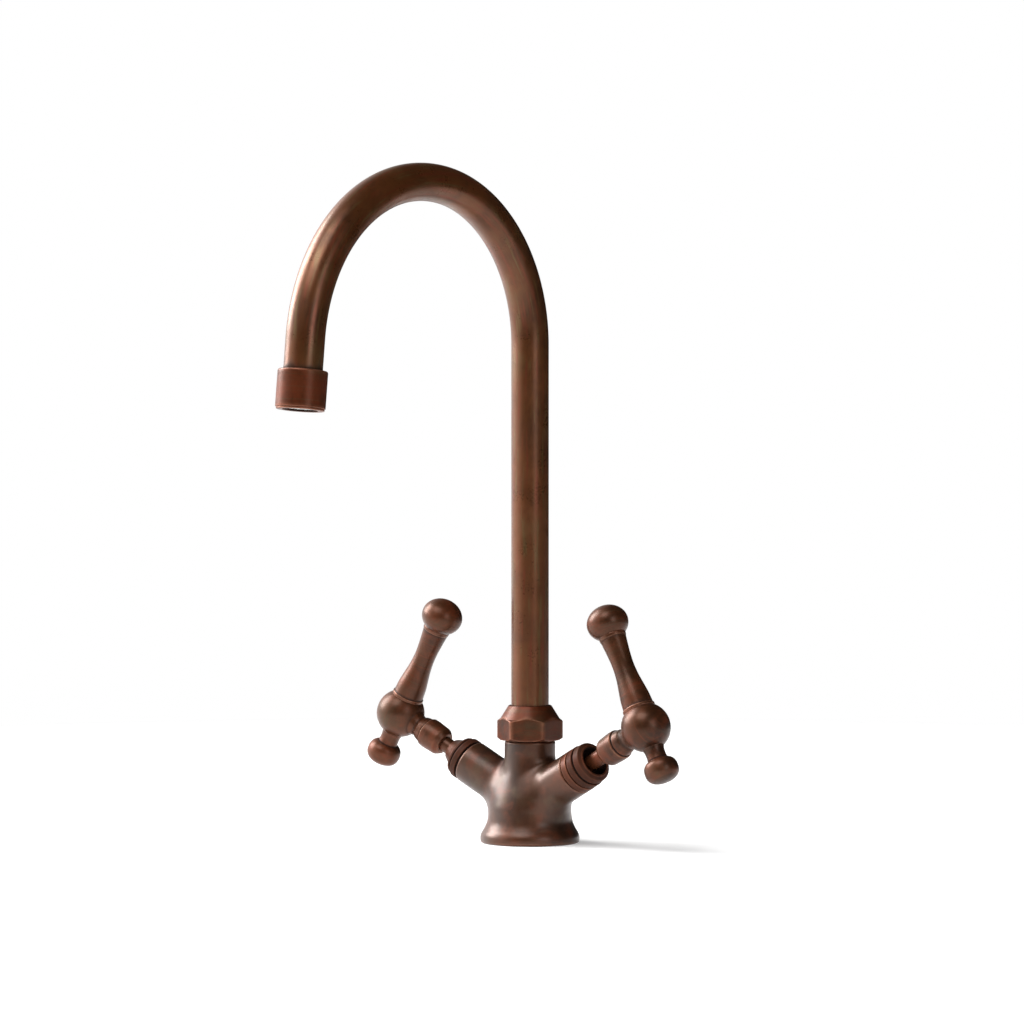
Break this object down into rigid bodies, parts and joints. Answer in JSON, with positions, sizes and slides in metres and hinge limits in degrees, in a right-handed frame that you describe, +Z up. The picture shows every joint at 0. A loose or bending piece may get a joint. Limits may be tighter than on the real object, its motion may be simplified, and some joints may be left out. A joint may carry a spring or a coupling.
{
  "type": "gooseneck bathroom faucet",
  "caption": "Deck-mounted basin faucet: round foot with raised valve arms, waisted lever handles ending in knobs, and a tall swivelling gooseneck spout with a collared outlet.",
  "frame": {"origin": "centre of the foot's underside, on the deck plane, on the swivel axis of the spout", "axes": "+Z up along the spout's swivel axis; -Y forward, the way the spout points at rest; +X towards the cold handle"},
  "size_m": [0.2008, 0.2081, 0.3415],
  "materials": {
    "aged_copper_casting": "satin aged copper, brushed and waxed",
    "aged_copper_tube": "satin aged copper with mottled patina",
    "aged_copper_rings": "satin aged copper, redder, rubbed bright on the edges",
    "aged_copper_handles": "satin aged copper with rubbed edges",
    "bare_brass": "turned, bare",
    "black_rubber": "matte",
    "white_ceramic": "lapped, matte",
    "white_nylon": "matte",
    "stainless_mesh": "punched and brushed",
    "dark_steel": "black oxide"
  },
  "bodies": {
    "faucet_body": {"body_casting": "aged_copper_casting", "base_gasket": "black_rubber", "spout_nut": "aged_copper_rings", "cold_spacer_ring": "aged_copper_rings", "hot_bonnet": "aged_copper_rings", "hot_cartridge_sleeve": "bare_brass", "hot_sleeve_seal": "black_rubber", "hot_seat_seal": "black_rubber", "hot_fixed_disc": "white_ceramic", "cold_bonnet": "aged_copper_rings", "cold_cartridge_sleeve": "bare_brass", "cold_sleeve_seal": "black_rubber", "cold_seat_seal": "black_rubber", "cold_fixed_disc": "white_ceramic"},
    "spout": {"spout_tube": "aged_copper_tube", "spout_spigot": "bare_brass", "spigot_seal_rings": "black_rubber", "spout_slip_ring": "white_nylon", "spout_collar": "aged_copper_rings", "aerator_housing": "aged_copper_rings", "aerator_insert": "white_nylon", "aerator_screen": "stainless_mesh", "aerator_washer": "black_rubber"},
    "hot_handle": {"hot_moving_disc": "white_ceramic", "hot_spindle": "aged_copper_handles", "hot_spindle_seal": "black_rubber", "hot_handle_hub": "aged_copper_handles", "hot_grub_screw": "dark_steel", "hot_lever": "aged_copper_handles", "hot_knob": "aged_copper_handles", "hot_tail_knob": "aged_copper_handles"},
    "cold_handle": {"cold_moving_disc": "white_ceramic", "cold_spindle": "aged_copper_handles", "cold_spindle_seal": "black_rubber", "cold_handle_hub": "aged_copper_handles", "cold_grub_screw": "dark_steel", "cold_lever": "aged_copper_handles", "cold_knob": "aged_copper_handles", "cold_tail_knob": "aged_copper_handles"}
  },
  "joints": [
    {"name": "spout_swivel", "type": "hinge", "parent": "faucet_body", "child": "spout", "pos_m": [0, 0, 0.055], "axis": [0, 0, 1], "continuous": true},
    {"name": "hot_valve_turn", "type": "hinge", "parent": "faucet_body", "child": "hot_handle", "pos_m": [-0.03971, -0.00368, 0.04085], "axis": [0.8824, 0.0819, -0.4633], "range_deg": [0, 90]},
    {"name": "cold_valve_turn", "type": "hinge", "parent": "faucet_body", "child": "cold_handle", "pos_m": [0.03971, -0.00368, 0.04085], "axis": [0.8824, -0.0819, 0.4633], "range_deg": [0, 90]}
  ]
}
